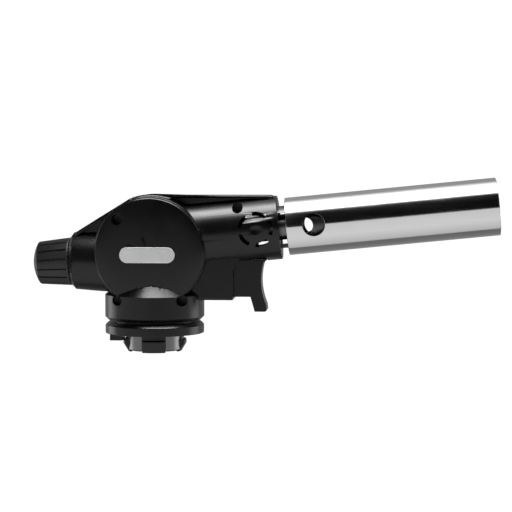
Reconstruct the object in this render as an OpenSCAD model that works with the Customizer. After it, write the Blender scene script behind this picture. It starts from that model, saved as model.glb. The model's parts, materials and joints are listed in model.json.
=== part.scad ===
// Canister-mounted butane torch head for lampwork.
// Row frame: the origin is on the canister's axis at the collar's underside, +X runs towards the
// burner tip, +Z is up, and the housing splits at Y = 0 with the labelled half at -Y.

/* [Burner] */
// Outer diameter of the flame tube
tube_d = 22; // [18:0.5:27]
// Wall of the flame tube
tube_wall = 0.7; // [0.5:0.1:1.2]
// Length of the flame tube
tube_len = 80.2; // [65:0.1:110]
// Upward tilt of the burner's axis, in degrees
burner_tilt = 5.6; // [0:0.1:12]
// Height of the burner's axis where it crosses the canister's axis
burner_z = 35.9; // [34:0.1:38]
// Gap between the barrel's end and the flame tube
tube_gap = 2.75; // [1.5:0.25:5]
// Diameter of the flame tube's air holes
air_hole_d = 8.5; // [5:0.5:10]
// Distance of the air holes from the tube's rear end
air_hole_inset = 10.5; // [8:0.5:14]
// Outer diameter of the burner sleeve
sleeve_d = 16.2; // [14:0.2:17]
// Width of the sleeve's long windows
sleeve_window_w = 12.3; // [8:0.1:12.6]
// Diameter of the sleeve's own air holes
sleeve_hole_d = 6; // [4:0.5:7]
// Outer diameter of the jet holder
jet_holder_d = 9.8; // [8.6:0.1:10]
// Diameter of the ceramic insulator
insulator_d = 2; // [1.6:0.1:2.2]

/* [Housing] */
// Moulded wall of the housing
wall = 1.8; // [1.2:0.1:2.4]
// Outer radius of the barrel
barrel_r = 12.2; // [11.5:0.1:14]
// Distance of the barrel's end from the canister's axis, along the burner
barrel_end = 48.6; // [46:0.1:56]
// Outer radius of the drum
drum_r = 21.1; // [20:0.1:23]
// Radius of the drum's raised face disc
drum_face_r = 20.7; // [19:0.1:22]
// Half of the drum's thickness at its middle
drum_half = 14.9; // [13:0.1:17]
// Fall of the drum's faces from their middle to their rim
drum_crown = 1.1; // [0:0.1:1.5]
// Height of the drum's axis
drum_z = 31.4; // [30:0.1:33]
// Outer radius of the neck at the drum
neck_r = 11.5; // [10:0.1:13]
// Reach of the neck's end behind the canister's axis
neck_end = 31.9; // [30:0.1:36]
// Height of the flat top rib
rib_top = 53; // [52.6:0.1:56]
// Half width of the top rib's flange
rib_half = 5; // [2:0.1:6]
// Half width of the trigger guard
guard_half = 7.2; // [6.2:0.1:9]
// Underside of the trigger guard
guard_bottom = 13; // [10:0.1:15]
// Front edge of the trigger guard
guard_front = 30.8; // [30:0.1:33]

/* [Skirt and collar] */
// Outer radius of the skirt
skirt_r = 19.1; // [18:0.1:24]
// Height of the skirt's top edge
skirt_top = 14.8; // [13:0.1:16]
// Outer radius of the canister collar
collar_r = 19; // [18:0.1:22]
// Thickness of the canister collar
collar_h = 4.3; // [3.5:0.1:4.6]
// Gap between collar and skirt, filled by the spring washer
washer_h = 0.85; // [0.5:0.05:1.2]
// Outer radius of the bayonet lips
lip_r = 12.2; // [11.8:0.1:12.4]
// Outer radius of the fingers above the lips
finger_r = 11.2; // [10.8:0.1:11.3]
// Width of one bayonet finger
finger_w = 8.9; // [6:0.1:10]
// Reach of the fingers below the collar
finger_reach = 7.1; // [6:0.1:8.5]
// Turn of the fingers about the canister's axis, in degrees
finger_turn = 4.6; // [0:0.1:10]
// Outer radius of the inlet cup between the fingers
cup_r = 10.7; // [10.2:0.1:10.7]
// Radius of the socket that takes the canister's stem
socket_r = 2.2; // [1.8:0.1:2.6]
// Depth of that socket
socket_depth = 4.5; // [3.5:0.1:5.5]

/* [Valve and knob] */
// Upward tilt of the spindle's axis towards the burner, in degrees
spindle_tilt = 2.9; // [0:0.1:5]
// Radius of the spindle
spindle_r = 3; // [2.6:0.1:3.6]
// Radius of the needle's shank
needle_r = 1.5; // [1.2:0.1:1.7]
// Radius of the knob at the housing
knob_base_r = 9.25; // [8:0.05:10]
// Radius of the knob at its outer end
knob_tip_r = 8.2; // [7:0.05:9]
// Length of the knob's fluted part, without its dome
knob_len = 12.3; // [10:0.1:16]
// Height of the knob's dome
knob_dome = 2.4; // [1:0.1:3.5]
// Number of grooves round the knob
knob_grooves = 15; // [9:1:24]
// Outer radius of the valve body's upright
valve_r = 5; // [4.4:0.1:5.4]
// Outer radius of the valve body's spindle boss
boss_r = 6; // [5.4:0.1:6.6]

/* [Trigger and igniter] */
// Width of the trigger
trigger_w = 10; // [8:0.1:10.4]
// Travel of the trigger
trigger_travel = 6; // [4:0.1:7.4]
// Front of the trigger's finger curve at its deepest
trigger_front = 41.4; // [40:0.1:44]
// Lowest point of the trigger
trigger_bottom = 8.55; // [6:0.1:10]
// Height of the igniter's axis
piezo_z = 20.6; // [20.2:0.1:21]
// Outer radius of the igniter's case
piezo_r = 4.1; // [3.8:0.1:4.3]
// Radius of the igniter's plunger
plunger_r = 2.9; // [2.4:0.1:3.1]
// Diameter of the ignition lead
lead_d = 1.5; // [1:0.1:1.8]

/* [Screws and clearances] */
// Radius of the screw recesses
screw_recess_r = 2.05; // [1.8:0.05:2.4]
// Radius of the screw heads
screw_head_r = 1.9; // [1.6:0.05:2]
// Radius of the screw shanks
screw_shank_r = 1; // [0.8:0.05:1.2]
// Depth of the screw heads below the surface
screw_sunk = 5.2; // [2:0.1:5.6]
// Radial clearance of a running fit
run_fit = 0.05; // [0.02:0.01:0.1]
// Clearance round a sliding moulded part
slide_gap = 0.3; // [0.2:0.05:0.5]

/* [Hidden] */
$fn = 96;

eps = 0.01;
over = 60;

// Housing heights and places
skirt_base = collar_h + washer_h;
floor_top = skirt_base + 2;
drum_x = -0.45;
neck_z = 27.4;
neck_droop = -2;
neck_start = 12;
neck_face_r = 9.45;
rib_band = 1.25;
rib_web_half = 1.2;

// Burner stations, measured along its axis from the canister's axis
tube_start = barrel_end + tube_gap;
sleeve_start = 37;
sleeve_wall = 0.6;
sleeve_hole_s = tube_start + air_hole_inset - 3.4;
flange_s = tube_start + air_hole_inset + 9;
flange_len = 2.4;
sleeve_window_start = sleeve_start + 1.5;
sleeve_window_end = sleeve_hole_s - sleeve_hole_d / 2 - 1;
jet_start = 15;
jet_end = sleeve_hole_s - sleeve_hole_d / 2 - 4;
jet_nozzle_len = 3;
holder_s = flange_s + flange_len + 2;
holder_t = 1;
gas_tube_r = 1.6;
gas_tube_seat = 3;
insulator_y = sleeve_d / 2 - sleeve_wall - insulator_d / 2 - 0.1;
sleeve_window_drop = 0.45;
insulator_start = sleeve_start - 6;
insulator_end = holder_s - 1;
electrode_r = 0.45;
electrode_end = holder_s + 7;
clamp_s = 23;
clamp_t = 2.4;

// Valve places: the spindle's axis runs through this height on the canister's axis
knob_face_x = -neck_end;
knob_z = 27.25;
spindle_z = knob_z - knob_face_x * tan(spindle_tilt);
valve_top = burner_z + 5.2;
boss_end = 18;
gland_len = 3.6;
gland_af = 10.5;
seat_x = 3;
spindle_inner = 6.5;
needle_len = 8;
needle_socket = 7.5;
gallery_r = 1;
oring_r = 0.8;
oring_places = [10, 13];
gasket_h = 1.2;
filter_h = 1;
cup_bore_r = 8.2;
cup_web = 2.2;

// Collar
finger_inner = cup_r - 1.5;
lip_low = -3.9;
lip_high = -2.6;
lug_x = [-17.4, -12.1];
lug_depth = 3;
collar_screw_r = 14.1;
collar_screw_head = 1.8;
collar_shank_r = 0.9;

// Igniter places
piezo_rear = 8.5;
piezo_front = 25;
piezo_bore_end = piezo_rear + 2;
plunger_tail = 19.5;
plunger_nose = 34;
trigger_top = 28.2;
trigger_low = 14.2;
trigger_grip = 4.6;
trigger_pocket_gap = 0.35;
trigger_lean = 2.1;
spring_wire_r = 0.3;
spring_turns = 5;

// Screw places as [x, z, surface depth]
skirt_screw_z = 13.3;
skirt_screw_x = 12.2;
screws = [[-12.5, 43.9, drum_half - drum_crown / 2], [-12.5, skirt_screw_z, sqrt(skirt_r * skirt_r - 12.5 * 12.5)],
    [skirt_screw_x, skirt_screw_z, sqrt(skirt_r * skirt_r - skirt_screw_x * skirt_screw_x)],
    [32.6, 48.2, barrel_side(32.6, 48.2)]];
screw_end = 7;
screw_boss_r = 3;
screw_head_h = 1.5;

// Vent ring on the barrel
vent_s = 39.3;
vent_rise = 0.35;
vent_r = 6.7;
vent_w = 1.5;
vent_count = 5;
vent_arc = 50;
vent_first = 6;
vent_dish_depth = 0.35;
vent_dish_sphere = 9;

// Label
label_x = -1;
label_z = 30.5;
label_w = 21;
label_h = 6;
label_t = 0.6;
label_seat = 0.35;
label_gap = 0.1;

function barrel_side(x, z) =
    let (rise = (z - burner_z - x * tan(burner_tilt)) * cos(burner_tilt))
    sqrt(barrel_r * barrel_r - rise * rise);

// Points of an arc of radius r round (cx, cy), from angle a to angle b
function arc(cx, cy, r, a, b, n = 6) =
    [for (i = [0:n]) [cx + r * cos(a + (b - a) * i / n), cy + r * sin(a + (b - a) * i / n)]];

// Places children along the burner: local +Z runs along its axis, local +X points down
module along_burner(s = 0)
    translate([0, 0, burner_z]) rotate([0, 90 - burner_tilt, 0]) translate([0, 0, s]) children();

// Places children along the spindle: local +Z runs inwards from the knob's face
module along_spindle(x = 0)
    translate([0, 0, spindle_z]) rotate([0, 90 - spindle_tilt, 0]) translate([0, 0, x]) children();

// A cylinder along +Y between two depths
module across(x, z, r, y0, y1)
    translate([x, y0, z]) rotate([-90, 0, 0]) cylinder(h = y1 - y0, r = r);

// A turned piece: outline points are [radius, height]
module turned(points) rotate_extrude() polygon(points);

// A plate in the XZ plane between two depths
module plate(points, y0, y1)
    translate([0, y1, 0]) rotate([90, 0, 0]) linear_extrude(height = y1 - y0) polygon(points);

// A tube of 8 sides swept along route points
module swept(route, r, sides = 8) {
    count = len(route);
    rings = [for (i = [0:count - 1])
        let (d = route[min(i + 1, count - 1)] - route[max(i - 1, 0)],
            t = d / norm(d),
            up = abs(t[1]) > 0.9 ? [0, 0, 1] : [0, 1, 0],
            a = cross(t, up) / norm(cross(t, up)),
            b = cross(t, a))
        for (k = [0:sides - 1])
            route[i] + r * cos(360 * k / sides) * a + r * sin(360 * k / sides) * b];
    walls = [for (i = [0:count - 2]) for (k = [0:sides - 1])
        let (n = (k + 1) % sides)
        [i * sides + k, i * sides + n, (i + 1) * sides + n, (i + 1) * sides + k]];
    start_cap = [[for (k = [sides - 1:-1:0]) k]];
    end_cap = [[for (k = [0:sides - 1]) (count - 1) * sides + k]];
    polyhedron(rings, concat(walls, start_cap, end_cap));
}

// ---------------------------------------------------------------- housing

drum_edge = 0.8;
drum_step = 1.5;
groove_w = 0.45;
groove_d = 0.5;
face_rings = 9;
face_edge_r = drum_face_r - drum_edge;
drum_rim = drum_half - face_drop(face_edge_r);
drum_room = drum_half - drum_crown - wall + 0.4;

// How far a drum face lies below its middle at radius r: a slight dome, falling faster at the rim
function face_drop(r) =
    drum_crown * (0.55 * pow(r / drum_face_r, 2) + 0.45 * pow(r / drum_face_r, 8));

module drum_outer() {
    half = concat(
        [[0, 0], [drum_r, 0]],
        arc(drum_r - 0.4, drum_rim - drum_step - groove_w - 0.4, 0.4, 0, 90, 3),
        [[drum_face_r - groove_d, drum_rim - drum_step - groove_w],
            [drum_face_r - groove_d, drum_rim - drum_step], [drum_face_r, drum_rim - drum_step]],
        arc(face_edge_r, drum_rim - drum_edge, drum_edge, 0, 78, 4),
        [for (i = [1:face_rings]) let (r = face_edge_r * sqrt(1 - i / face_rings))
            [r, drum_half - face_drop(r)]]);
    translate([drum_x, 0, drum_z]) {
        rotate([90, 0, 0]) turned(half);
        rotate([-90, 0, 0]) turned(half);
    }
}

// The neck's end and its chamfer are cut square to the spindle, parallel to the knob's face
module neck_shape(inset) {
    taper = 0.65;
    root_x = 20;
    reach = neck_end - root_x + 1.5;
    face = -neck_end / cos(spindle_tilt);
    chamfer_slope = 0.85;
    intersection() {
        translate([-root_x, 0, neck_z - 0.2]) rotate([0, -90 - neck_droop, 0])
            turned([[0, -neck_start], [neck_r - inset, -neck_start], [neck_r - inset, 0],
                [neck_r - taper - inset, reach], [0, reach]]);
        along_spindle(face) turned([[0, 0], [neck_face_r - inset, 0],
            [neck_face_r - inset + over / 2, over / 2 * chamfer_slope],
            [0, over / 2 * chamfer_slope]]);
    }
}

module barrel_outer() {
    edge = 0.5;
    along_burner(6) turned(concat([[0, 0], [barrel_r, 0]],
        arc(barrel_r - edge, barrel_end - 6 - edge, edge, 0, 90, 3), [[0, barrel_end - 6]]));
}

module skirt_outer() {
    shoulder = 5.15;
    shoulder_r = 13;
    chamfer = 1.3;
    turned([[0, skirt_base], [skirt_r - chamfer, skirt_base], [skirt_r, skirt_base + chamfer],
        [skirt_r, skirt_top], [shoulder_r, skirt_top + shoulder],
        [shoulder_r - 4, skirt_top + shoulder + 1.5], [0, skirt_top + shoulder + 1.5]]);
}

guard_low = [[5, guard_bottom], [guard_front - 0.3, guard_bottom],
    [guard_front, guard_bottom + 0.3], [guard_front, 24.3], [guard_front + 0.9, 26.2],
    [guard_front + 2.4, 27.5], [guard_front + 2.4, 32], [5, 32]];

module guard_outer() {
    edge = 0.8;
    low = guard_bottom + edge;
    side = guard_half - edge;
    section = concat(arc(-side, low, edge, 180, 270, 3), arc(side, low, edge, 270, 360, 3),
        [[guard_half, 33], [-guard_half, 33]]);
    intersection() {
        plate(guard_low, -guard_half, guard_half);
        rotate([90, 0, 90]) linear_extrude(height = over) polygon(section);
    }
}

// Outline of the flat top rib, from the neck over the drum to the barrel's end
rib_right = barrel_end * cos(burner_tilt) - 1.6;
rib_line = concat([[-29.6, 36], [-29.6, 38.8], [-18.8, 45.5], [-13.6, 48.7], [-9, 51.0],
    [-4, 52.3], [2.5, rib_top]],
    arc(rib_right - 2.4, rib_top - 2.4, 2.4, 90, 12, 5), [[rib_right + 0.5, 49]]);

module rib_outer() {
    foot = [[rib_right + 0.5, 42], [-10, 34]];
    outline = concat(rib_line, foot);
    plate(outline, -rib_web_half, rib_web_half);
    difference() {
        plate(outline, -rib_half, rib_half);
        intersection() {
            translate([-0.6 * rib_band, 0, -rib_band]) plate(outline, -rib_half - 1, rib_half + 1);
            translate([0.3 * rib_band, 0, -rib_band]) plate(outline, -rib_half - 1, rib_half + 1);
        }
    }
}

module housing_outer() {
    drum_outer();
    neck_shape(0);
    barrel_outer();
    skirt_outer();
    guard_outer();
    rib_outer();
}

module housing_cavity() {
    across(drum_x, drum_z, drum_r - wall - 0.5, -drum_room, drum_room);
    neck_shape(wall);
    along_burner(8) cylinder(h = barrel_end - wall - 8, r = barrel_r - wall);
    translate([0, 0, floor_top]) cylinder(h = skirt_top - floor_top - 0.6, r = skirt_r - wall);
    translate([8, -guard_half + 1.5, guard_bottom + 1.5])
        cube([guard_front - 9.5, 2 * guard_half - 3, 14]);
}

module screw_bosses() {
    for (s = screws) across(s[0], s[1], screw_boss_r, -s[2] + 1.2, screw_end + 1.5);
}

// Ribs that hold the valve, the jet holder and the igniter
module inner_ribs() {
    along_burner(clamp_s) cylinder(h = clamp_t, r = barrel_r - 0.4);
    along_spindle(-boss_end + 1) cylinder(h = 2, r = neck_r - 1.2);
    translate([10, -guard_half + 0.4, guard_bottom + 0.4])
        cube([2, 2 * guard_half - 0.8, 13]);
    translate([piezo_front - 5, -guard_half + 0.4, guard_bottom + 0.4])
        cube([2, 2 * guard_half - 0.8, 13]);
}

module vent_slots() {
    x = vent_s * cos(burner_tilt) + 0.5;
    z = burner_z + x * tan(burner_tilt) + vent_rise;
    for (i = [0:vent_count - 1]) {
        mid = vent_first + 360 * i / vent_count;
        a = vent_arc / 2;
        reach = vent_r + 4;
        intersection() {
            difference() {
                across(x, z, vent_r, -over, over);
                across(x, z, vent_r - vent_w, -over - 1, over + 1);
            }
            translate([x, 0, z]) plate([[0, 0], [reach * cos(mid - a), reach * sin(mid - a)],
                [reach * cos(mid) * 1.2, reach * sin(mid) * 1.2],
                [reach * cos(mid + a), reach * sin(mid + a)]], -over, over);
        }
    }
    dish_y = barrel_r + vent_dish_sphere - vent_dish_depth;
    for (side = [-1, 1]) translate([x, side * dish_y, z]) sphere(r = vent_dish_sphere);
}

module screw_cuts() {
    for (s = screws) {
        across(s[0], s[1], screw_recess_r, -over, -s[2] + screw_sunk + screw_head_h);
        across(s[0], s[1], screw_shank_r, -over, screw_end);
    }
}

module valve_clearance() {
    translate([0, 0, -1]) cylinder(h = floor_top + 2, r = valve_r);
    cylinder(h = 26, r = valve_r);
    along_spindle(-boss_end - 0.5) cylinder(h = boss_end + 0.5, r = boss_r);
    along_spindle(-40) cylinder(h = 30, r = spindle_r + slide_gap);
    for (a = [45:90:315]) rotate([0, 0, a]) translate([collar_screw_r, 0, 0])
        cylinder(h = floor_top + 1, r = collar_shank_r);
}

module trigger_clearance() {
    half = trigger_w / 2 + slide_gap;
    back = plunger_nose - trigger_grip - trigger_travel - 2 * slide_gap;
    translate([back, -half, trigger_low - slide_gap])
        cube([trigger_front + trigger_lean + slide_gap - back, 2 * half,
            trigger_top - trigger_low + 2 * slide_gap]);
}

module burner_clearance() {
    along_burner(10) cylinder(h = 30, r = jet_holder_d / 2);
    along_burner(sleeve_start) cylinder(h = 30, r = sleeve_d / 2);
    along_burner(0) translate([-insulator_y, 0, 0])
        cylinder(h = sleeve_start + 5, r = insulator_d / 2 + 0.6);
}

module label_seat_cut(gap) {
    y0 = -drum_half - 1;
    y1 = -drum_half + label_seat;
    for (side = [-1, 1])
        across(label_x + side * (label_w - label_h) / 2, label_z, label_h / 2 + gap, y0, y1);
    translate([label_x - (label_w - label_h) / 2, y0, label_z - label_h / 2 - gap])
        cube([label_w - label_h, y1 - y0, label_h + 2 * gap]);
}

module housing_body() {
    difference() {
        union() {
            difference() {
                housing_outer();
                housing_cavity();
            }
            intersection() {
                screw_bosses();
                housing_outer();
            }
            inner_ribs();
        }
        vent_slots();
        screw_cuts();
        valve_clearance();
        trigger_clearance();
        burner_clearance();
        across_piezo(piezo_r);
        label_seat_cut(label_gap);
    }
}

module across_piezo(r)
    translate([piezo_rear, 0, piezo_z]) rotate([0, 90, 0])
        cylinder(h = piezo_front - piezo_rear, r = r);

module half_space(side)
    translate([-over, side < 0 ? -over : 0, -over]) cube([3 * over, over, 3 * over]);

module housing_front() {
    color("#1b1c1e") intersection() {
        housing_body();
        half_space(-1);
    }
}

module housing_rear() {
    color("#1b1c1e") intersection() {
        housing_body();
        half_space(1);
    }
}

module housing_screws() {
    color("#3a3a3c") for (s = screws) {
        head = -s[2] + screw_sunk;
        difference() {
            union() {
                across(s[0], s[1], screw_head_r, head, head + screw_head_h);
                across(s[0], s[1], screw_shank_r, head + 0.5, screw_end);
            }
            for (a = [0, 90]) translate([s[0], head, s[1]]) rotate([0, a, 0])
                cube([2.4, 1.6, 0.55], center = true);
        }
    }
}

module label_plate() {
    color("#e6e8ea") translate([0, label_seat - label_t, 0]) difference() {
        label_body();
        translate([-over, -drum_half - 3, -over]) cube([3 * over, 3 - 0.001, 3 * over]);
    }
}

module label_body() {
    for (side = [-1, 1])
        across(label_x + side * (label_w - label_h) / 2, label_z, label_h / 2,
            -drum_half, -drum_half + label_t);
    translate([label_x - (label_w - label_h) / 2, -drum_half, label_z - label_h / 2])
        cube([label_w - label_h, label_t, label_h]);
}

// ---------------------------------------------------------------- knob and valve

knob_gap = 0.25;

module control_knob() {
    groove = 0.6;
    plain = 0.9;
    first = 17.7;
    taper = (knob_base_r - knob_tip_r) / knob_len;
    dome_r = (knob_tip_r * knob_tip_r + knob_dome * knob_dome) / (2 * knob_dome);
    dome_a = asin(knob_tip_r / dome_r);
    face = knob_face_x / cos(spindle_tilt) - knob_gap;
    color("#1d1e20") along_spindle(face) mirror([0, 0, 1]) difference() {
        turned(concat([[0, 0], [knob_base_r, 0], [knob_tip_r, knob_len]],
            [for (i = [1:6]) let (a = dome_a * (1 - i / 6))
                [dome_r * sin(a), knob_len + knob_dome - dome_r * (1 - cos(a))]]));
        for (i = [0:knob_grooves - 1]) rotate([0, 0, first + 360 * i / knob_grooves])
            translate([knob_base_r - groove, -groove / 2, plain]) rotate([0, -atan(taper), 0])
                cube([3, groove, knob_len + knob_dome]);
        translate([0, 0, -1]) cylinder(h = 9, r = spindle_r);
    }
}

module valve_spindle() {
    outer = knob_face_x / cos(spindle_tilt) - knob_gap - 8;
    color("#b9a05a") along_spindle(0) difference() {
        translate([0, 0, outer]) cylinder(h = -spindle_inner - outer, r = spindle_r);
        translate([0, 0, -spindle_inner - needle_socket])
            cylinder(h = needle_socket + 1, r = needle_r + run_fit);
        for (x = oring_places) translate([0, 0, -x]) rotate_extrude()
            translate([spindle_r, 0]) circle(r = oring_r);
    }
}

module spindle_orings() {
    bore = spindle_r + run_fit;
    color("#141414") for (x = oring_places) along_spindle(-x) intersection() {
        rotate_extrude() translate([spindle_r, 0]) circle(r = oring_r);
        translate([0, 0, -2]) cylinder(h = 4, r = bore - 0.02);
    }
}

module valve_needle() {
    point = [[0, -1.4], [gallery_r - 0.1, 0], [needle_r, 0.8]];
    color("#c8c9cc") along_spindle(-seat_x) mirror([0, 0, 1])
        turned(concat(point, [[needle_r, needle_len], [0, needle_len]]));
}

module gland_nut() {
    color("#b08d4a") along_spindle(-boss_end - gland_len) difference() {
        cylinder(h = gland_len, r = gland_af / 2 / cos(30), $fn = 6);
        translate([0, 0, -1]) cylinder(h = gland_len + 2, r = spindle_r + run_fit);
    }
}

module valve_body() {
    seat = seat_x;
    color("#b08d4a") difference() {
        union() {
            translate([0, 0, stem_low]) cylinder(h = valve_top - stem_low, r = valve_r);
            translate([0, 0, floor_top]) cylinder(h = 2, r = valve_r + 2);
            along_spindle(-boss_end) cylinder(h = boss_end, r = boss_r);
        }
        along_spindle(-boss_end - 1) cylinder(h = boss_end + 1 - seat, r = spindle_r + run_fit);
        along_spindle(-seat - 1) cylinder(h = seat + 1 + eps, r = gallery_r);
        translate([0, 0, stem_low - 1]) cylinder(h = spindle_z - stem_low + 1, r = gallery_r);
        translate([0, 0, stem_low - 1]) cylinder(h = 1 + filter_h, r = filter_r);
        translate([-seat - 0.6, 0, spindle_z]) cylinder(h = burner_z - spindle_z, r = gallery_r * 0.8);
        along_burner(-seat - 1.4) cylinder(h = 20, r = gallery_r * 0.8);
        along_burner(valve_r - gas_tube_seat + 0.6) cylinder(h = 20, r = gas_tube_r);
    }
}

// The cup screws onto the stem and clamps the collar against the housing's floor
cup_low = -finger_reach + 0.5;
stem_low = cup_low + cup_web + socket_depth;
filter_r = 2.8;

module inlet_filter() {
    color("#9a7b4f") translate([0, 0, stem_low]) cylinder(h = filter_h, r = filter_r);
}

module inlet_gasket() {
    color("#141414") translate([0, 0, stem_low - gasket_h]) difference() {
        cylinder(h = gasket_h, r = valve_r - 0.6);
        translate([0, 0, -1]) cylinder(h = gasket_h + 2, r = gallery_r * 0.9);
    }
}

module inlet_cup() {
    color("#a9abae") difference() {
        union() {
            translate([0, 0, cup_low]) cylinder(h = collar_web_low - cup_low, r = finger_inner - 0.05);
            intersection() {
                turned([[0, cup_low], [cup_r - 0.5, cup_low], [cup_r, cup_low + 0.5],
                    [cup_r, collar_web_low], [0, collar_web_low]]);
                difference() {
                    translate([0, 0, cup_low - 1]) cylinder(h = over, r = over);
                    for (a = [0, 90]) rotate([0, 0, finger_turn + a])
                        translate([-over, -finger_w / 2 - 0.15, cup_low - 2])
                            cube([2 * over, finger_w + 0.3, over]);
                }
            }
        }
        translate([0, 0, cup_low - 1]) cylinder(h = 2.2, r = cup_bore_r);
        translate([0, 0, cup_low - 1]) cylinder(h = over, r = socket_r);
        translate([0, 0, stem_low - gasket_h]) cylinder(h = over, r = valve_r - 0.6);
        translate([0, 0, stem_low]) cylinder(h = over, r = valve_r);
    }
}

// ---------------------------------------------------------------- collar

collar_web_low = collar_h - 1.6;

module finger_ring() {
    turned([[finger_inner, collar_web_low], [finger_inner, -finger_reach + 0.6],
        [finger_inner + 0.5, -finger_reach], [lip_r - 1.9, -finger_reach],
        [lip_r, lip_low], [lip_r, lip_high], [lip_r - 0.3, lip_high + 0.3],
        [finger_r, lip_high + 0.3], [finger_r, collar_web_low]]);
}

module canister_collar() {
    chamfer = 1.15;
    color("#1b1c1e") difference() {
        union() {
            turned([[valve_r, collar_web_low], [cup_r + 1.2, collar_web_low], [cup_r + 1.2, 0],
                [collar_r - 0.2, 0], [collar_r, 0.2], [collar_r, collar_h - chamfer],
                [collar_r - chamfer, collar_h], [valve_r, collar_h]]);
            intersection() {
                finger_ring();
                union() for (a = [0, 90]) rotate([0, 0, finger_turn + a])
                    translate([-over, -finger_w / 2, -over]) cube([2 * over, finger_w, 2 * over]);
            }
            intersection() {
                translate([lug_x[0], -4, -lug_depth]) cube([lug_x[1] - lug_x[0], 8, lug_depth + 1]);
                translate([0, 0, -over]) cylinder(h = 2 * over, r = -lug_x[0]);
            }
        }
        for (a = [45:90:315]) rotate([0, 0, a]) translate([collar_screw_r, 0, 0]) {
            translate([0, 0, -over]) cylinder(h = over + 1.6, r = collar_screw_head + 0.1);
            cylinder(h = over, r = 1.1);
        }
    }
}

module collar_screws() {
    color("#8d8f92") for (a = [45:90:315]) rotate([0, 0, a]) translate([collar_screw_r, 0, 0])
        difference() {
            union() {
                translate([0, 0, 0.2]) cylinder(h = 1.4, r = collar_screw_head);
                translate([0, 0, 1]) cylinder(h = skirt_base + 0.8, r = collar_shank_r);
            }
            for (t = [0, 90]) rotate([0, 0, t]) translate([-1.1, -0.25, 0]) cube([2.2, 0.5, 0.8]);
        }
}

module spring_washer() {
    color("#2a2b2d") translate([0, 0, collar_h]) difference() {
        cylinder(h = washer_h, r = skirt_r - 3.6);
        translate([0, 0, -1]) cylinder(h = washer_h + 2, r = valve_r + 1);
        for (a = [45:90:315]) rotate([0, 0, a]) translate([collar_screw_r, 0, -1])
            cylinder(h = 5, r = 1.1);
    }
}

// ---------------------------------------------------------------- burner

module gas_tube() {
    color("#b87333") along_burner(valve_r - gas_tube_seat + 0.6) difference() {
        cylinder(h = jet_start + gas_tube_seat - valve_r + gas_tube_seat - 0.6, r = gas_tube_r);
        translate([0, 0, -1]) cylinder(h = over, r = gas_tube_r - 0.6);
    }
}

module jet_holder() {
    color("#a8a294") along_burner(jet_start) difference() {
        cylinder(h = jet_end - jet_start, r = jet_holder_d / 2);
        translate([0, 0, -1]) cylinder(h = gas_tube_seat + 1, r = gas_tube_r);
        cylinder(h = over * 2, r = 0.9);
        translate([0, 0, jet_end - jet_start - 4]) cylinder(h = 5, r = 2.5);
    }
}

module jet_nozzle() {
    color("#c9a64b") along_burner(jet_end - 4) difference() {
        union() {
            cylinder(h = 4, r = 2.5);
            translate([0, 0, 4]) cylinder(h = jet_nozzle_len, r1 = 3.2, r2 = 1.6);
        }
        translate([0, 0, -1]) cylinder(h = 5, r = 1.2);
        cylinder(h = 10, r = 0.25);
    }
}

module burner_sleeve() {
    r = sleeve_d / 2;
    inner = r - sleeve_wall;
    flange_r = tube_d / 2 - tube_wall;
    color("#8f9194") along_burner(0) difference() {
        turned([[jet_holder_d / 2, sleeve_start], [r, sleeve_start], [r, flange_s],
            [flange_r, flange_s + 1], [flange_r, flange_s + flange_len],
            [flange_r - sleeve_wall, flange_s + flange_len], [flange_r - sleeve_wall, flange_s + 1.4],
            [inner, flange_s + 0.4], [inner, sleeve_start + 1], [jet_holder_d / 2, sleeve_start + 1]]);
        translate([sleeve_window_drop - sleeve_window_w / 2, -over, sleeve_window_start])
            cube([sleeve_window_w, 2 * over, sleeve_window_end - sleeve_window_start]);
        translate([0, 0, sleeve_hole_s]) rotate([90, 0, 0])
            cylinder(h = 2 * over, r = sleeve_hole_d / 2, center = true);
        translate([-insulator_y, 0, sleeve_start - 1]) cylinder(h = 3, r = insulator_d / 2);
    }
}

module flame_tube() {
    r = tube_d / 2;
    color("#c9cacc") along_burner(tube_start) difference() {
        turned([[r - tube_wall, 0], [r - 0.15, 0], [r, 0.15], [r, tube_len - 0.15],
            [r - 0.15, tube_len], [r - tube_wall, tube_len]]);
        translate([0, 0, air_hole_inset]) rotate([90, 0, 0])
            cylinder(h = 2 * over, r = air_hole_d / 2, center = true);
    }
}

module flame_holder() {
    r = tube_d / 2 - tube_wall;
    color("#77797c") along_burner(holder_s) difference() {
        turned([[0, 0], [r - 0.4, 0], [r, 0.4], [r, 3], [r - 0.5, 3], [r - 0.5, holder_t], [0, holder_t]]);
        for (ring = [[6, 2.8], [12, 5.2]], i = [0:ring[0] - 1])
            rotate([0, 0, 360 * (i + 0.5) / ring[0]]) translate([ring[1], 0, -1])
                cylinder(h = 4, r = 0.8, $fn = 24);
        for (i = [0:17]) rotate([0, 0, 20 * i]) translate([8.1, 0, -1])
            cylinder(h = 4, r = 0.8, $fn = 24);
        translate([0, 0, -1]) cylinder(h = 4, r = 1.2);
        translate([-insulator_y, 0, -1]) cylinder(h = 4, r = 1.25);
    }
}

module electrode_insulator() {
    color("#e9e4d8") along_burner(insulator_start) translate([-insulator_y, 0, 0]) difference() {
        cylinder(h = insulator_end - insulator_start, r = insulator_d / 2);
        translate([0, 0, -1]) cylinder(h = over * 2, r = electrode_r);
    }
}

module electrode_wire() {
    reach = electrode_end - insulator_start;
    color("#8b8d90") along_burner(insulator_start) translate([-insulator_y, 0, 0]) {
        cylinder(h = reach, r = electrode_r);
        translate([0, 0, reach]) sphere(r = electrode_r);
    }
}

// ---------------------------------------------------------------- igniter and trigger

module piezo_case() {
    color("#d8d4c4") difference() {
        across_piezo(piezo_r);
        translate([piezo_bore_end, 0, piezo_z]) rotate([0, 90, 0])
            cylinder(h = over, r = plunger_r + run_fit);
        translate([piezo_rear - 1, 0, piezo_z]) rotate([0, 90, 0]) cylinder(h = 2, r = lead_d / 2);
    }
}

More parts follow.
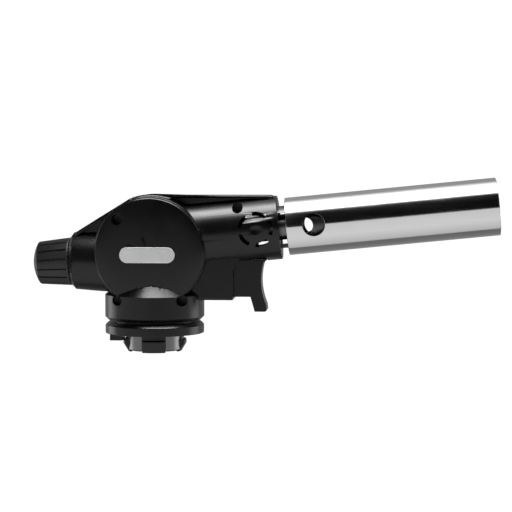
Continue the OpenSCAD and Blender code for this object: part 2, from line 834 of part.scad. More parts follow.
module piezo_plunger() {
    color("#2b2c2f") translate([plunger_tail, 0, piezo_z]) rotate([0, 90, 0])
        cylinder(h = plunger_nose - plunger_tail, r = plunger_r);
}

module piezo_spring() {
    steps = spring_turns * 16;
    coil_r = plunger_r - spring_wire_r - 0.35;
    from = piezo_bore_end + spring_wire_r + 0.05;
    to = plunger_tail - spring_wire_r - 0.05;
    color("#9a9c9f") swept([for (i = [0:steps])
        let (a = 360 * i / 16) [from + (to - from) * i / steps, coil_r * cos(a),
            piezo_z + coil_r * sin(a)]], spring_wire_r, 6);
}

// The lead leaves the igniter's rear end, climbs past the valve and ends on the electrode
lead_points = [[piezo_rear + 0.2, 0, piezo_z], [7.9, 0, piezo_z], [7.1, -1.4, piezo_z + 0.6],
    [7.3, -4, piezo_z + 2.6], [8.4, -6.3, piezo_z + 6.3], [10, -7.2, piezo_z + 10.5],
    [12, -7, piezo_z + 15], [14.2, -6.3, piezo_z + 19.3], [16.6, -4.2, piezo_z + 22.7]];
lead_end_s = insulator_start;
lead_end = [lead_end_s * cos(burner_tilt) - insulator_y * sin(burner_tilt), 0,
    burner_z + lead_end_s * sin(burner_tilt) + insulator_y * cos(burner_tilt)];
lead_dir = [cos(burner_tilt), 0, sin(burner_tilt)];

module ignition_lead() {
    color("#c23b2e") swept(concat(lead_points, [lead_end - 11.5 * lead_dir,
        lead_end - 7 * lead_dir, lead_end]), lead_d / 2, 8);
}

// An earth strip: a band round the valve's upright, and a tab against the igniter's rear end
module ground_strap() {
    t = 0.4;
    band_h = 3;
    low = piezo_z - 3.6;
    color("#c9a64b") {
        translate([0, 0, low]) difference() {
            cylinder(h = band_h, r = valve_r + t);
            translate([0, 0, -1]) cylinder(h = band_h + 2, r = valve_r);
        }
        translate([valve_r + 0.2, -1.5, low]) cube([piezo_rear - valve_r - 0.2, 3, t]);
        translate([piezo_rear - t, -1.5, low]) cube([t, 3, 2.2]);
    }
}

module trigger() {
    front = trigger_front;
    tip = trigger_bottom;
    // Concave finger curve between the barrel and the hook's tip
    curve_r = 24;
    curve_z = 20.6;
    curve = arc(front + curve_r, curve_z, curve_r, 163.5, 203, 10);
    outline = concat([[plunger_nose - trigger_grip, trigger_low], [front - 4.1, trigger_low],
        [front - 2.5, tip], [front + 1.2, tip]],
        arc(front + 1.3, tip + 0.9, 0.9, -90, 30, 4),
        [for (i = [len(curve) - 1:-1:0]) curve[i]],
        [[front + trigger_lean, trigger_top], [plunger_nose - trigger_grip, trigger_top]]);
    half = trigger_w / 2;
    color("#1b1c1e") difference() {
        plate(outline, -half, half);
        translate([plunger_nose - over, 0, piezo_z]) rotate([0, 90, 0])
            cylinder(h = over, r = plunger_r);
        translate([piezo_front + trigger_travel - over, 0, piezo_z]) rotate([0, 90, 0])
            cylinder(h = over + trigger_pocket_gap, r = piezo_r + trigger_pocket_gap);
    }
}

housing_front();
housing_rear();
housing_screws();
label_plate();
control_knob();
valve_spindle();
spindle_orings();
valve_needle();
gland_nut();
valve_body();
inlet_gasket();
inlet_filter();
inlet_cup();
canister_collar();
collar_screws();
spring_washer();
gas_tube();
jet_holder();
jet_nozzle();
burner_sleeve();
flame_tube();
flame_holder();
electrode_insulator();
electrode_wire();
piezo_case();
piezo_plunger();
piezo_spring();
ignition_lead();
ground_strap();
trigger();
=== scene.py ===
"""The looks of a canister-mounted lampwork torch head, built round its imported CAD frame."""

import json
import math

import bmesh
import bpy
from mathutils import Matrix, Vector


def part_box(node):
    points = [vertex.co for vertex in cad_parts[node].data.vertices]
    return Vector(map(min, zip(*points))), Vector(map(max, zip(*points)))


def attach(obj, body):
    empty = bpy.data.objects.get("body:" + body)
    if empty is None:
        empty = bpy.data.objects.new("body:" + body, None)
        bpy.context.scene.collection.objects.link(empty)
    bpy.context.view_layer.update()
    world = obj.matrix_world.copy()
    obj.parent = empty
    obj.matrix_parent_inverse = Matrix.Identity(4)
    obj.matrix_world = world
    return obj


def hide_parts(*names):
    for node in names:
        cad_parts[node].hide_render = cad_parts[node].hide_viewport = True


MM = 0.001
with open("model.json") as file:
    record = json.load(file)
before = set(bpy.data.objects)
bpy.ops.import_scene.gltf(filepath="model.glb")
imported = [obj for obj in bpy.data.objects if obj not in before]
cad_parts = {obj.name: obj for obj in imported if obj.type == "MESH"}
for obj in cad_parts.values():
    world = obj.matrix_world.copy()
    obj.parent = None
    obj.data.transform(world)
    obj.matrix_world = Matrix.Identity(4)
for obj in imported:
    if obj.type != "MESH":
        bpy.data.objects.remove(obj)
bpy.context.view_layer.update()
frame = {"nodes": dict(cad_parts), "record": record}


# ---------------------------------------------------------------- node helpers

def node_of(tree, kind, **settings):
    made = tree.nodes.new(kind)
    for key, value in settings.items():
        setattr(made, key, value)
    return made


def feed(tree, socket, value):
    """Links a socket, or sets it to a plain value."""
    if value is None:
        return
    if isinstance(value, bpy.types.NodeSocket):
        tree.links.new(value, socket)
    elif isinstance(value, tuple) and len(value) == 3 and socket.type == "RGBA":
        socket.default_value = (*value, 1.0)
    else:
        socket.default_value = value


def sum_of(tree, operation, first, second=None, third=None, clamp=False):
    made = node_of(tree, "ShaderNodeMath", operation=operation, use_clamp=clamp)
    for socket, value in zip(made.inputs, (first, second, third)):
        feed(tree, socket, value)
    return made.outputs[0]


def ramp_of(tree, value, stops, interpolation="LINEAR"):
    """A colour ramp with stops given as (position, grey or colour)."""
    ramp = node_of(tree, "ShaderNodeValToRGB")
    ramp.color_ramp.interpolation = interpolation
    elements = ramp.color_ramp.elements
    while len(elements) < len(stops):
        elements.new(0.5)
    for element, (position, tone) in zip(elements, stops):
        element.position = position
        colour = tone if isinstance(tone, tuple) else (tone, tone, tone)
        element.color = (*colour, 1.0)
    feed(tree, ramp.inputs[0], value)
    return ramp.outputs["Color"]


def fade(tree, value, start, end, low=0.0, high=1.0):
    """A smooth step from low to high as value goes from start to end."""
    made = node_of(tree, "ShaderNodeMapRange", interpolation_type="SMOOTHSTEP")
    for name, given in (("Value", value), ("From Min", start), ("From Max", end),
                        ("To Min", low), ("To Max", high)):
        feed(tree, made.inputs[name], given)
    return made.outputs["Result"]


def blend_of(tree, factor, first, second, kind="MIX"):
    made = node_of(tree, "ShaderNodeMix", data_type="RGBA", blend_type=kind)
    feed(tree, made.inputs["Factor"], factor)
    feed(tree, made.inputs[6], first)
    feed(tree, made.inputs[7], second)
    return made.outputs[2]


# ---------------------------------------------------------------- camera, light and floor

def add_camera(aim, distance, turn, down, lens):
    """A camera looking along +Y, turned by `turn` and tipped `down` in degrees, aimed at a point."""
    turn, down = math.radians(turn), math.radians(down)
    level = math.cos(down)
    forward = Vector((-math.sin(turn) * level, math.cos(turn) * level, -math.sin(down)))
    camera = bpy.data.objects.new("camera", bpy.data.cameras.new("camera"))
    camera.data.lens = lens
    camera.data.sensor_width = 36.0
    camera.data.clip_start = 0.01
    camera.data.clip_end = 20.0
    camera.location = Vector(aim) - forward * distance
    camera.rotation_euler = forward.to_track_quat("-Z", "Y").to_euler()
    bpy.context.collection.objects.link(camera)
    bpy.context.scene.camera = camera


def add_studio():
    """A light tent: a bright bank overhead, a dark card above the lens, bright ends, a pale ground."""
    world = bpy.data.worlds.new("studio")
    bpy.context.scene.world = world
    world.use_nodes = True
    tree = world.node_tree
    tree.nodes.clear()
    out = node_of(tree, "ShaderNodeOutputWorld")
    coords = node_of(tree, "ShaderNodeTexCoord")
    split = node_of(tree, "ShaderNodeSeparateXYZ")
    feed(tree, split.inputs[0], coords.outputs["Generated"])
    side, depth, height = split.outputs
    towards = sum_of(tree, "MULTIPLY", depth, -1.0)
    angle = sum_of(tree, "ARCTAN2", height, towards)
    around = sum_of(tree, "MULTIPLY_ADD", angle, 1 / (2 * math.pi), 0.5)
    across = sum_of(tree, "SQRT", sum_of(tree, "SUBTRACT", 1.0, sum_of(tree, "MULTIPLY", side, side)))
    sideways = sum_of(tree, "DIVIDE", side, across)
    wide = sum_of(tree, "ABSOLUTE", sideways)

    def at(degrees):
        return 0.5 + degrees / 360.0

    tent = ramp_of(tree, around, [
        (at(-180), 0.42), (at(-135), 0.20), (at(-98), 0.14), (at(-94), 0.52), (at(-50), 0.72), (at(-3), 0.66),
        (at(0), 0.12), (at(55), 0.12), (at(60), 0.30), (at(101), 0.34), (at(180), 0.30)])
    card = sum_of(tree, "MULTIPLY", fade(tree, around, at(-4.5), at(-0.5)), fade(tree, around, at(57), at(55)))
    card = sum_of(tree, "MULTIPLY", card, fade(tree, sideways, -0.24, -0.10))
    bank = sum_of(tree, "MULTIPLY", fade(tree, around, at(55), at(59)), fade(tree, around, at(127), at(99)))
    bank = sum_of(tree, "MULTIPLY", bank, fade(tree, wide, 0.62, 0.42))
    lit = fade(tree, sideways, -0.60, -0.30, 0.10, 1.0)
    core = sum_of(tree, "MULTIPLY", fade(tree, around, at(58), at(78)), fade(tree, around, at(104), at(88)))
    glow = sum_of(tree, "MULTIPLY_ADD", core, 12.5, 1.4)
    ends = sum_of(tree, "MULTIPLY", fade(tree, wide, 1.1, 1.5), fade(tree, depth, 0.05, 0.25))
    light = blend_of(tree, card, tent, (0.004, 0.004, 0.004))
    light = blend_of(tree, sum_of(tree, "MULTIPLY", bank, lit), light, glow)
    light = blend_of(tree, ends, light, (2.0, 2.0, 2.0))
    room = node_of(tree, "ShaderNodeBackground")
    feed(tree, room.inputs["Color"], light)
    backdrop = node_of(tree, "ShaderNodeBackground")
    backdrop.inputs["Strength"].default_value = 1.05
    backdrop.inputs["Color"].default_value = (1, 1, 1, 1)
    rays = node_of(tree, "ShaderNodeLightPath")
    mix = node_of(tree, "ShaderNodeMixShader")
    tree.links.new(rays.outputs["Is Camera Ray"], mix.inputs[0])
    tree.links.new(room.outputs[0], mix.inputs[1])
    tree.links.new(backdrop.outputs[0], mix.inputs[2])
    tree.links.new(mix.outputs[0], out.inputs[0])
    bpy.context.scene.view_settings.view_transform = "Standard"


def add_floor(height, half):
    """A pale floor that looks white and reflects as the tent's ground."""
    sheet = bmesh.new()
    bmesh.ops.create_grid(sheet, x_segments=1, y_segments=1, size=half)
    bmesh.ops.translate(sheet, verts=sheet.verts, vec=(0, 0, height))
    mesh = bpy.data.meshes.new("floor")
    sheet.to_mesh(mesh)
    sheet.free()
    floor = bpy.data.objects.new("floor", mesh)
    bpy.context.collection.objects.link(floor)
    paint = bpy.data.materials.new("floor_paper")
    paint.use_nodes = True
    tree = paint.node_tree
    tree.nodes.clear()
    out = node_of(tree, "ShaderNodeOutputMaterial")
    seen = node_of(tree, "ShaderNodeEmission")
    seen.inputs["Strength"].default_value = 1.05
    glow = node_of(tree, "ShaderNodeBsdfTransparent")
    rays = node_of(tree, "ShaderNodeLightPath")
    mix = node_of(tree, "ShaderNodeMixShader")
    tree.links.new(rays.outputs["Is Camera Ray"], mix.inputs[0])
    tree.links.new(glow.outputs[0], mix.inputs[1])
    tree.links.new(seen.outputs[0], mix.inputs[2])
    tree.links.new(mix.outputs[0], out.inputs[0])
    mesh.materials.append(paint)


def add_flag(height, right, left, half):
    """A black card over the knob's end that keeps the bank off the neck; the camera does not see it."""
    sheet = bmesh.new()
    corners = [sheet.verts.new(place) for place in (
        (left, -half, height), (right, -half, height), (right, half, height), (left, half, height))]
    sheet.faces.new(corners)
    mesh = bpy.data.meshes.new("flag")
    sheet.to_mesh(mesh)
    sheet.free()
    flag = bpy.data.objects.new("flag", mesh)
    bpy.context.collection.objects.link(flag)
    felt = bpy.data.materials.new("flag_felt")
    felt.use_nodes = True
    tree = felt.node_tree
    tree.nodes.clear()
    out = node_of(tree, "ShaderNodeOutputMaterial")
    clear = node_of(tree, "ShaderNodeBsdfTransparent")
    dark = node_of(tree, "ShaderNodeBsdfDiffuse")
    dark.inputs["Color"].default_value = (0.01, 0.01, 0.01, 1)
    rays = node_of(tree, "ShaderNodeLightPath")
    mix = node_of(tree, "ShaderNodeMixShader")
    tree.links.new(rays.outputs["Is Camera Ray"], mix.inputs[0])
    tree.links.new(dark.outputs[0], mix.inputs[1])
    tree.links.new(clear.outputs[0], mix.inputs[2])
    tree.links.new(mix.outputs[0], out.inputs[0])
    mesh.materials.append(felt)


# ---------------------------------------------------------------- shared surface effects

def effect(name, inputs, outputs):
    """A shader node group with named float inputs and outputs; returns it with its two ends."""
    group = bpy.data.node_groups.new(name, "ShaderNodeTree")
    for label, value in inputs:
        socket = group.interface.new_socket(name=label, in_out="INPUT", socket_type="NodeSocketFloat")
        socket.default_value = value
    for label, kind in outputs:
        group.interface.new_socket(name=label, in_out="OUTPUT", socket_type=kind)
    return group, node_of(group, "NodeGroupInput"), node_of(group, "NodeGroupOutput")


def noise(tree, vector, scale, detail=3.0, roughness=0.5):
    made = node_of(tree, "ShaderNodeTexNoise")
    feed(tree, made.inputs["Vector"], vector)
    feed(tree, made.inputs["Scale"], scale)
    made.inputs["Detail"].default_value = detail
    made.inputs["Roughness"].default_value = roughness
    return made.outputs[0]


def object_place(tree, stretch=(1, 1, 1), turn=(0, 0, 0)):
    """Object coordinates, turned and stretched."""
    coords = node_of(tree, "ShaderNodeTexCoord")
    mapping = node_of(tree, "ShaderNodeMapping")
    mapping.inputs["Scale"].default_value = stretch
    mapping.inputs["Rotation"].default_value = turn
    feed(tree, mapping.inputs["Vector"], coords.outputs["Object"])
    return mapping.outputs[0]


def moulded_grain():
    """Fine spark-eroded texture of a mould, with slow changes of sheen."""
    group, given, out = effect("moulded_grain", [("Scale", 2600.0), ("Drift", 60.0)],
                               [("Height", "NodeSocketFloat"), ("Sheen", "NodeSocketFloat")])
    place = object_place(group)
    feed(group, out.inputs["Height"], noise(group, place, given.outputs["Scale"], 2.0, 0.6))
    feed(group, out.inputs["Sheen"], noise(group, place, given.outputs["Drift"], 4.0, 0.55))
    return group


def edge_wear_and_highlight():
    """Paler edges, part rub wear and part painted edge highlight: one on an edge, broken up by noise, none on the
    flats.
    """
    group, given, out = effect("edge_wear_and_highlight", [("Width", 0.0004), ("Break up", 400.0), ("Amount", 1.0)],
                               [("Mask", "NodeSocketFloat")])
    rounded = node_of(group, "ShaderNodeBevel", samples=4)
    feed(group, rounded.inputs["Radius"], given.outputs["Width"])
    flat = node_of(group, "ShaderNodeNewGeometry")
    dot = node_of(group, "ShaderNodeVectorMath", operation="DOT_PRODUCT")
    feed(group, dot.inputs[0], rounded.outputs[0])
    feed(group, dot.inputs[1], flat.outputs["Normal"])
    edge = fade(group, dot.outputs["Value"], 0.995, 0.90)
    patches = noise(group, object_place(group), given.outputs["Break up"], 4.0, 0.6)
    # The mask marks every edge alike: rub wear together with a painted highlight along the edges.
    mask = sum_of(group, "MULTIPLY", edge, fade(group, patches, 0.35, 0.65))
    feed(group, out.inputs["Mask"], sum_of(group, "MULTIPLY", mask, given.outputs["Amount"], clamp=True))
    return group


def fine_lines():
    """Polishing lines that run along X, from hairlines to faint bands."""
    group, given, out = effect("fine_lines", [("Scale", 900.0)],
                               [("Height", "NodeSocketFloat"), ("Sheen", "NodeSocketFloat")])
    place = object_place(group, stretch=(0.03, 1, 1))
    hair = noise(group, place, given.outputs["Scale"], 5.0, 0.7)
    broad = noise(group, object_place(group), sum_of(group, "MULTIPLY", given.outputs["Scale"], 0.06), 3.0)
    feed(group, out.inputs["Height"], hair)
    feed(group, out.inputs["Sheen"], sum_of(group, "MULTIPLY_ADD", hair, 0.5,
                                            sum_of(group, "MULTIPLY", broad, 0.5)))
    return group


def settled_dust():
    """Specks and a thin film that gather on surfaces facing up."""
    group, given, out = effect("settled_dust", [("Amount", 0.3)], [("Mask", "NodeSocketFloat")])
    facing = node_of(group, "ShaderNodeNewGeometry")
    split = node_of(group, "ShaderNodeSeparateXYZ")
    feed(group, split.inputs[0], facing.outputs["Normal"])
    up = fade(group, split.outputs["Z"], 0.2, 0.95)
    film = fade(group, noise(group, object_place(group), 220.0, 6.0, 0.65), 0.42, 0.8)
    mask = sum_of(group, "MULTIPLY", up, film)
    feed(group, out.inputs["Mask"], sum_of(group, "MULTIPLY", mask, given.outputs["Amount"], clamp=True))
    return group


def heat_colours():
    """Temper colours along the burner: straw, then violet and blue towards the flame."""
    group, given, out = effect("heat_colours", [("Start", 0.112), ("End", 0.134)],
                               [("Colour", "NodeSocketColor"), ("Mask", "NodeSocketFloat")])
    coords = node_of(group, "ShaderNodeTexCoord")
    split = node_of(group, "ShaderNodeSeparateXYZ")
    feed(group, split.inputs[0], coords.outputs["Object"])
    ragged = sum_of(group, "MULTIPLY_ADD", noise(group, object_place(group), 90.0), 0.006, split.outputs["X"])
    ragged = sum_of(group, "SUBTRACT", ragged, 0.003)
    place = node_of(group, "ShaderNodeMapRange")
    feed(group, place.inputs["Value"], ragged)
    feed(group, place.inputs["From Min"], given.outputs["Start"])
    feed(group, place.inputs["From Max"], given.outputs["End"])
    feed(group, out.inputs["Colour"], ramp_of(group, place.outputs[0], [
        (0.0, (1.0, 1.0, 1.0)), (0.45, (0.95, 0.86, 0.62)), (0.7, (0.72, 0.52, 0.42)),
        (0.85, (0.42, 0.38, 0.55)), (1.0, (0.35, 0.45, 0.62))]))
    feed(group, out.inputs["Mask"], place.outputs[0])
    return group


GRAIN = moulded_grain()
EDGE_WEAR_AND_HIGHLIGHT = edge_wear_and_highlight()
LINES = fine_lines()
DUST = settled_dust()
HEAT = heat_colours()


def use(tree, group, **values):
    made = node_of(tree, "ShaderNodeGroup", node_tree=group)
    for name, value in values.items():
        feed(tree, made.inputs[name.replace("_", " ")], value)
    return made.outputs


# ---------------------------------------------------------------- finishes

def new_finish(name, **sockets):
    finish = bpy.data.materials.new(name)
    finish.use_nodes = True
    tree = finish.node_tree
    shader = tree.nodes["Principled BSDF"]
    for label, value in sockets.items():
        feed(tree, shader.inputs[label.replace("_", " ")], value)
    return finish, tree, shader


def bumped(tree, shader, height, distance, strength=1.0):
    bump = node_of(tree, "ShaderNodeBump")
    bump.inputs["Distance"].default_value = distance
    bump.inputs["Strength"].default_value = strength
    feed(tree, bump.inputs["Height"], height)
    feed(tree, shader.inputs["Normal"], bump.outputs[0])


def moulded(name, colour, rubbed_and_highlit, gloss, grain, depth, dust, wear_and_highlight=0.5):
    """Moulded plastic: grain, uneven sheen, paler edges that are part rub wear and part painted edge highlight, and a
    trace of dust.
    """
    finish, tree, shader = new_finish(name, Specular_IOR_Level=0.5)
    texture = use(tree, GRAIN, Scale=grain)
    worn_and_highlit = use(tree, EDGE_WEAR_AND_HIGHLIGHT, Width=0.35 * MM, Amount=wear_and_highlight)["Mask"]
    film = use(tree, DUST, Amount=dust)["Mask"]
    base = ramp_of(tree, texture["Sheen"], [
        (0.3, tuple(c * 0.88 for c in colour)), (0.7, tuple(c * 1.12 for c in colour))])
    # Paler edges: part rub wear, part painted edge highlight.
    base = blend_of(tree, worn_and_highlit, base, rubbed_and_highlit)
    base = blend_of(tree, film, base, (0.30, 0.29, 0.27))
    feed(tree, shader.inputs["Base Color"], base)
    sheen = fade(tree, texture["Sheen"], 0.3, 0.7, gloss - 0.04, gloss + 0.05)
    sheen = sum_of(tree, "MULTIPLY_ADD", film, 0.5, sheen)
    feed(tree, shader.inputs["Roughness"], sheen)
    bumped(tree, shader, texture["Height"], depth)
    return finish


def metal(name, colour, tint, gloss, spread, lines, depth, heat=None, wear_and_highlight=0.0, dust=0.1):
    """Bare or plated metal: fine lines, uneven sheen, bright edges that are part rub wear and part painted edge
    highlight, and heat colours if given.
    """
    finish, tree, shader = new_finish(name, Metallic=1.0)
    texture = use(tree, LINES, Scale=lines)
    base = ramp_of(tree, texture["Sheen"], [(0.3, tint), (0.7, colour)])
    if wear_and_highlight:
        # Brighter edges: part rub wear, part painted edge highlight.
        worn_and_highlit = use(tree, EDGE_WEAR_AND_HIGHLIGHT, Width=0.25 * MM, Amount=wear_and_highlight)["Mask"]
        base = blend_of(tree, worn_and_highlit, base, tuple(min(1.0, c * 1.5) for c in colour))
    if heat:
        temper = use(tree, HEAT, Start=heat[0], End=heat[1])
        base = blend_of(tree, heat[2], base, blend_of(tree, 1.0, base, temper["Colour"], "MULTIPLY"))
    film = use(tree, DUST, Amount=dust)["Mask"]
    base = blend_of(tree, film, base, (0.30, 0.29, 0.27))
    feed(tree, shader.inputs["Base Color"], base)
    sheen = fade(tree, texture["Sheen"], 0.3, 0.7, gloss, gloss + spread)
    sheen = sum_of(tree, "MULTIPLY_ADD", film, 0.4, sheen)
    feed(tree, shader.inputs["Roughness"], sheen)
    bumped(tree, shader, texture["Height"], depth)
    return finish


# A moulded finish's second colour is its edge colour: part rub wear, part painted edge highlight.
FINISHES = {
    "black_plastic": moulded("black_plastic", (0.001, 0.001, 0.0011), (0.012, 0.012, 0.0125), 0.27,
                             2600.0, 0.003 * MM, 0.005),
    "knob_plastic": moulded("knob_plastic", (0.025, 0.025, 0.0255), (0.04, 0.04, 0.041), 0.40,
                            2400.0, 0.008 * MM, 0.012, 0.7),
    "label_finish": moulded("label_finish", (0.72, 0.725, 0.73), (0.95, 0.95, 0.95), 0.30,
                            1500.0, 0.003 * MM, 0.02, 0.2),
    "igniter_plastic": moulded("igniter_plastic", (0.62, 0.57, 0.44), (0.7, 0.66, 0.55), 0.42,
                               1800.0, 0.006 * MM, 0.05),
    "plunger_plastic": moulded("plunger_plastic", (0.03, 0.03, 0.033), (0.08, 0.08, 0.08), 0.45,
                               1800.0, 0.006 * MM, 0.05),
    "rubber_seal": moulded("rubber_seal", (0.012, 0.012, 0.012), (0.03, 0.03, 0.03), 0.62,
                           1400.0, 0.010 * MM, 0.08),
    "lead_insulation": moulded("lead_insulation", (0.42, 0.035, 0.02), (0.5, 0.1, 0.08), 0.48,
                               1200.0, 0.008 * MM, 0.05),
    "ceramic": moulded("ceramic", (0.78, 0.75, 0.68), (0.86, 0.84, 0.8), 0.22,
                       900.0, 0.004 * MM, 0.03),
    "polished_steel": metal("polished_steel", (0.86, 0.86, 0.87), (0.80, 0.80, 0.81), 0.09, 0.05,
                            700.0, 0.0004 * MM, dust=0.02),
    "dark_steel": metal("dark_steel", (0.13, 0.13, 0.13), (0.10, 0.10, 0.10), 0.28, 0.12,
                        900.0, 0.002 * MM, heat=(0.05, 0.13, 0.12), wear_and_highlight=0.3),
    "plated_metal": metal("plated_metal", (0.24, 0.24, 0.24), (0.19, 0.19, 0.19), 0.24, 0.12,
                          1100.0, 0.002 * MM, wear_and_highlight=0.5),
    "brass_metal": metal("brass_metal", (0.72, 0.52, 0.24), (0.55, 0.38, 0.16), 0.24, 0.14,
                         1200.0, 0.002 * MM, wear_and_highlight=0.5),
    "copper_metal": metal("copper_metal", (0.74, 0.40, 0.26), (0.50, 0.26, 0.16), 0.26, 0.16,
                          1000.0, 0.002 * MM, wear_and_highlight=0.4),
    "screw_steel": metal("screw_steel", (0.06, 0.06, 0.062), (0.04, 0.04, 0.04), 0.34, 0.14,
                         1300.0, 0.002 * MM, wear_and_highlight=0.4),
    "spring_steel": metal("spring_steel", (0.5, 0.5, 0.51), (0.36, 0.36, 0.37), 0.22, 0.12,
                          1400.0, 0.001 * MM, wear_and_highlight=0.3),
    "sintered_bronze": metal("sintered_bronze", (0.40, 0.28, 0.15), (0.22, 0.15, 0.08), 0.5, 0.2,
                             2200.0, 0.02 * MM, wear_and_highlight=0.3),
}


# ---------------------------------------------------------------- pieces

def finished(name, shape, body, replaced, slot, smooth=35.0):
    """Turns a bmesh into a piece with its finish, riding on its body in place of a CAD node."""
    mesh = bpy.data.meshes.new(name)
    shape.to_mesh(mesh)
    shape.free()
    piece = bpy.data.objects.new(name, mesh)
    bpy.context.collection.objects.link(piece)
    mesh.materials.append(FINISHES[slot])
    for polygon in mesh.polygons:
        polygon.use_smooth = True
    mesh.set_sharp_from_angle(angle=math.radians(smooth))
    even = piece.modifiers.new("even_normals", "WEIGHTED_NORMAL")
    even.keep_sharp = True
    even.weight = 60
    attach(piece, body)
    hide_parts(replaced)
    return piece


def merged(node):
    """A copy of a CAD node with its corners joined and its flat faces whole."""
    shape = bmesh.new()
    shape.from_mesh(frame["nodes"][node].data)
    bmesh.ops.remove_doubles(shape, verts=shape.verts, dist=0.002 * MM)
    bmesh.ops.dissolve_limit(shape, angle_limit=math.radians(0.06), verts=shape.verts, edges=shape.edges)
    return shape


SCREWS = ((-12.5, 43.9), (-12.5, 13.3), (12.2, 13.3), (32.6, 48.2))


def in_recess(edge):
    """True for edges of the housing's screw recesses, which stay nearly crisp."""
    middle = (edge.verts[0].co + edge.verts[1].co) / 2 / MM
    return any(math.hypot(middle.x - x, middle.z - z) < 2.4 for x, z in SCREWS)


def rounded(shape, width, segments=2, sharp=32.0, chosen=None):
    """Rounds every edge that is sharper than the given angle."""
    shape.normal_update()
    edges = [edge for edge in shape.edges if edge.is_manifold and (chosen is None or chosen(edge))
             and edge.calc_face_angle() > math.radians(sharp)]
    bmesh.ops.bevel(shape, geom=edges, offset=width, segments=segments, profile=0.5, material=-1,
                    affect="EDGES", clamp_overlap=True)
    return shape


def on_rib_crest(edge):
    """True for the long outer edges along the level top of the rib's flange."""
    middle = (edge.verts[0].co + edge.verts[1].co) / 2
    if abs(abs(middle.y) - 5.0 * MM) > 0.02 * MM or abs(edge.verts[0].co.y - edge.verts[1].co.y) > 0.01 * MM:
        return False
    return max(face.normal.z for face in edge.link_faces) > 0.9


def shell(node):
    """A housing half: a broad rounding along the rib's crest, then every other sharp edge."""
    shape = merged(node)
    shape.normal_update()
    crest = [edge for edge in shape.edges if edge.is_manifold and on_rib_crest(edge)]
    bmesh.ops.bevel(shape, geom=crest, offset=0.8 * MM, segments=4, profile=0.5, material=-1,
                    affect="EDGES", clamp_overlap=False)
    rounded(shape, 0.09 * MM, 2, chosen=in_recess)
    return rounded(shape, 0.3 * MM, chosen=lambda edge: not in_recess(edge))


def knob_grip():
    """The fluted knob: a turned body with rounded edges, then grooves pushed into it."""
    count, per = 15, 28
    base, tip, length, rise = 9.25, 8.2, 12.3, 2.4
    plain, groove, bore, bore_depth = 0.9, 0.62, 3.0, 8.0
    first = math.radians(15.0)
    dome = (tip * tip + rise * rise) / (2 * rise)
    corner = 0.45

    def wall(z):
        return base - (base - tip) * z / length

    profile = [(0.0, bore_depth), (bore, bore_depth), (bore, 0.0)]
    profile += [(wall(corner) - corner + corner * math.sin(a), corner - corner * math.cos(a))
                for a in (math.radians(t) for t in (0, 30, 60, 90))]
    steps = [plain, plain + 0.2, plain + 0.4, plain + 0.7]
    steps += [2.5 + (length - 3.2) * i / 7 for i in range(8)]
    profile += [(wall(z), z) for z in steps]
    spread = math.asin(tip / dome)
    profile += [(wall(length - 0.25) - 0.02, length - 0.25), (tip - 0.12, length + 0.02)]
    profile += [(dome * math.sin(a), length + rise - dome * (1 - math.cos(a)))
                for a in (spread * f for f in (0.955, 0.91, 0.86, 0.8, 0.7, 0.55, 0.4, 0.25, 0.12, 0.0))]
    shape = bmesh.new()
    points = [shape.verts.new((r * MM, 0, z * MM)) for r, z in profile]
    edges = [shape.edges.new(pair) for pair in zip(points, points[1:])]
    bmesh.ops.spin(shape, geom=points + edges, cent=(0, 0, 0), axis=(0, 0, 1), dvec=(0, 0, 0),
                   angle=2 * math.pi, steps=count * per, use_merge=True, use_duplicate=False)
    bmesh.ops.remove_doubles(shape, verts=shape.verts, dist=0.002 * MM)
    sector = 2 * math.pi / count
    for vert in shape.verts:
        r, z = math.hypot(vert.co.x, vert.co.y), vert.co.z
        if r < (bore + 0.5) * MM or z < 0.05 * MM:
            continue
        angle = math.atan2(vert.co.y, vert.co.x)
        turn = round(angle / sector)
        offset = angle / sector - turn
        offset = math.copysign(abs(2 * offset) ** 1.7, offset) / 2
        angle = (turn + offset) * sector
        apart = abs(offset) * sector * r / MM
        cut = min(1.0, max(0.0, (0.46 - apart) / 0.26))
        cut = cut * cut * (3 - 2 * cut)
        cut *= min(1.0, max(0.0, (z / MM - plain) / 0.35))
        cut *= min(1.0, max(0.0, (r / MM - (tip - 2.4)) / 1.6)) if z > (length - 0.1) * MM else 1.0
        r -= cut * groove * MM
        vert.co.x, vert.co.y = r * math.cos(angle), r * math.sin(angle)
    bmesh.ops.recalc_face_normals(shape, faces=shape.faces)
    bmesh.ops.rotate(shape, verts=shape.verts, cent=(0, 0, 0), matrix=Matrix.Rotation(first, 3, "Z"))
    tilt = math.radians(2.9)
    face = -31.9 / math.cos(tilt) - 0.25
    centre = Vector((face * math.cos(tilt), 0, 27.25 + 31.9 * math.tan(tilt) + face * math.sin(tilt)))
    turned = Matrix.Rotation(-math.pi / 2 - tilt, 3, "Y")
    bmesh.ops.rotate(shape, verts=shape.verts, cent=(0, 0, 0), matrix=turned)
    bmesh.ops.translate(shape, verts=shape.verts, vec=centre * MM)
    return finished("knob_grip", shape, "knob", "control_knob", "knob_plastic", 50.0)


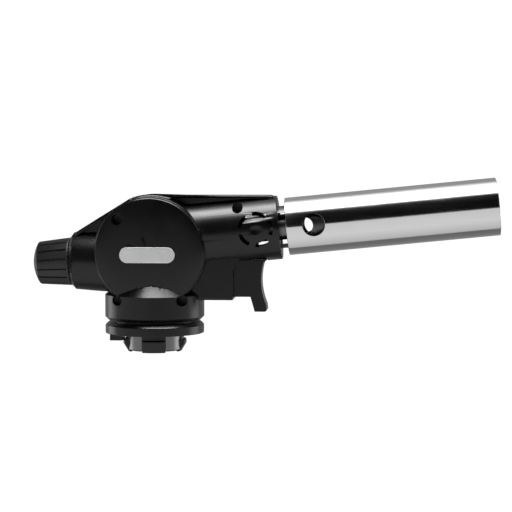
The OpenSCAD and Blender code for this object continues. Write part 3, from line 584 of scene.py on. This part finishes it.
def label_badge():
    """The plain pale pill on the drum, with a raised rim."""
    width, height, thick = 21.0, 6.0, 0.6
    shape = bmesh.new()
    low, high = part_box("label_plate")
    centre = Vector(((low.x + high.x) / 2, high.y, (low.z + high.z) / 2))
    bmesh.ops.create_circle(shape, cap_ends=True, segments=96, radius=height / 2 * MM)
    for vert in shape.verts:
        vert.co.x += math.copysign((width - height) / 2 * MM, vert.co.x)
    bmesh.ops.rotate(shape, verts=shape.verts, cent=(0, 0, 0), matrix=Matrix.Rotation(math.pi / 2, 3, "X"))
    raised = bmesh.ops.extrude_face_region(shape, geom=shape.faces[:])
    moved = [item for item in raised["geom"] if isinstance(item, bmesh.types.BMVert)]
    bmesh.ops.translate(shape, verts=moved, vec=(0, -thick * MM, 0))
    bmesh.ops.recalc_face_normals(shape, faces=shape.faces)
    front = [face for face in shape.faces if face.normal.y < -0.9]
    rim = [edge for face in front for edge in face.edges]
    bmesh.ops.bevel(shape, geom=rim, offset=0.16 * MM, segments=3, profile=0.5, material=-1,
                    affect="EDGES", clamp_overlap=True)
    front = [face for face in shape.faces if face.normal.y < -0.999 and len(face.verts) > 8]
    bmesh.ops.inset_region(shape, faces=front, thickness=0.22 * MM, depth=0)
    bmesh.ops.inset_region(shape, faces=front, thickness=0.08 * MM, depth=-0.06 * MM)
    bmesh.ops.translate(shape, verts=shape.verts, vec=centre)
    return finished("label_badge", shape, "housing", "label_plate", "label_finish")


NODE_SLOTS = {part["node"]: part["material_slot"] for part in frame["record"]["subparts"]}
for name, node in frame["nodes"].items():
    node.data.materials.clear()
    node.data.materials.append(FINISHES[NODE_SLOTS[name]])

add_camera(aim=(0.0388, 0.0044, 0.0293), distance=0.618, turn=4.0, down=3.3, lens=112.5)
add_studio()
add_floor(-0.0076, 3.0)
add_flag(0.12, -0.030, -0.40, 0.10)

knob_grip()
label_badge()
for node, piece in (("housing_front", "front_shell"), ("housing_rear", "rear_shell")):
    finished(piece, shell(node), "housing", node, "black_plastic")
finished("trigger_lever", rounded(merged("trigger"), 0.45 * MM, 3), "trigger", "trigger", "black_plastic")
finished("steel_tube", rounded(merged("flame_tube"), 0.18 * MM, 2), "housing", "flame_tube", "polished_steel")
finished("collar_ring", rounded(merged("canister_collar"), 0.3 * MM, 3), "housing", "canister_collar", "black_plastic")
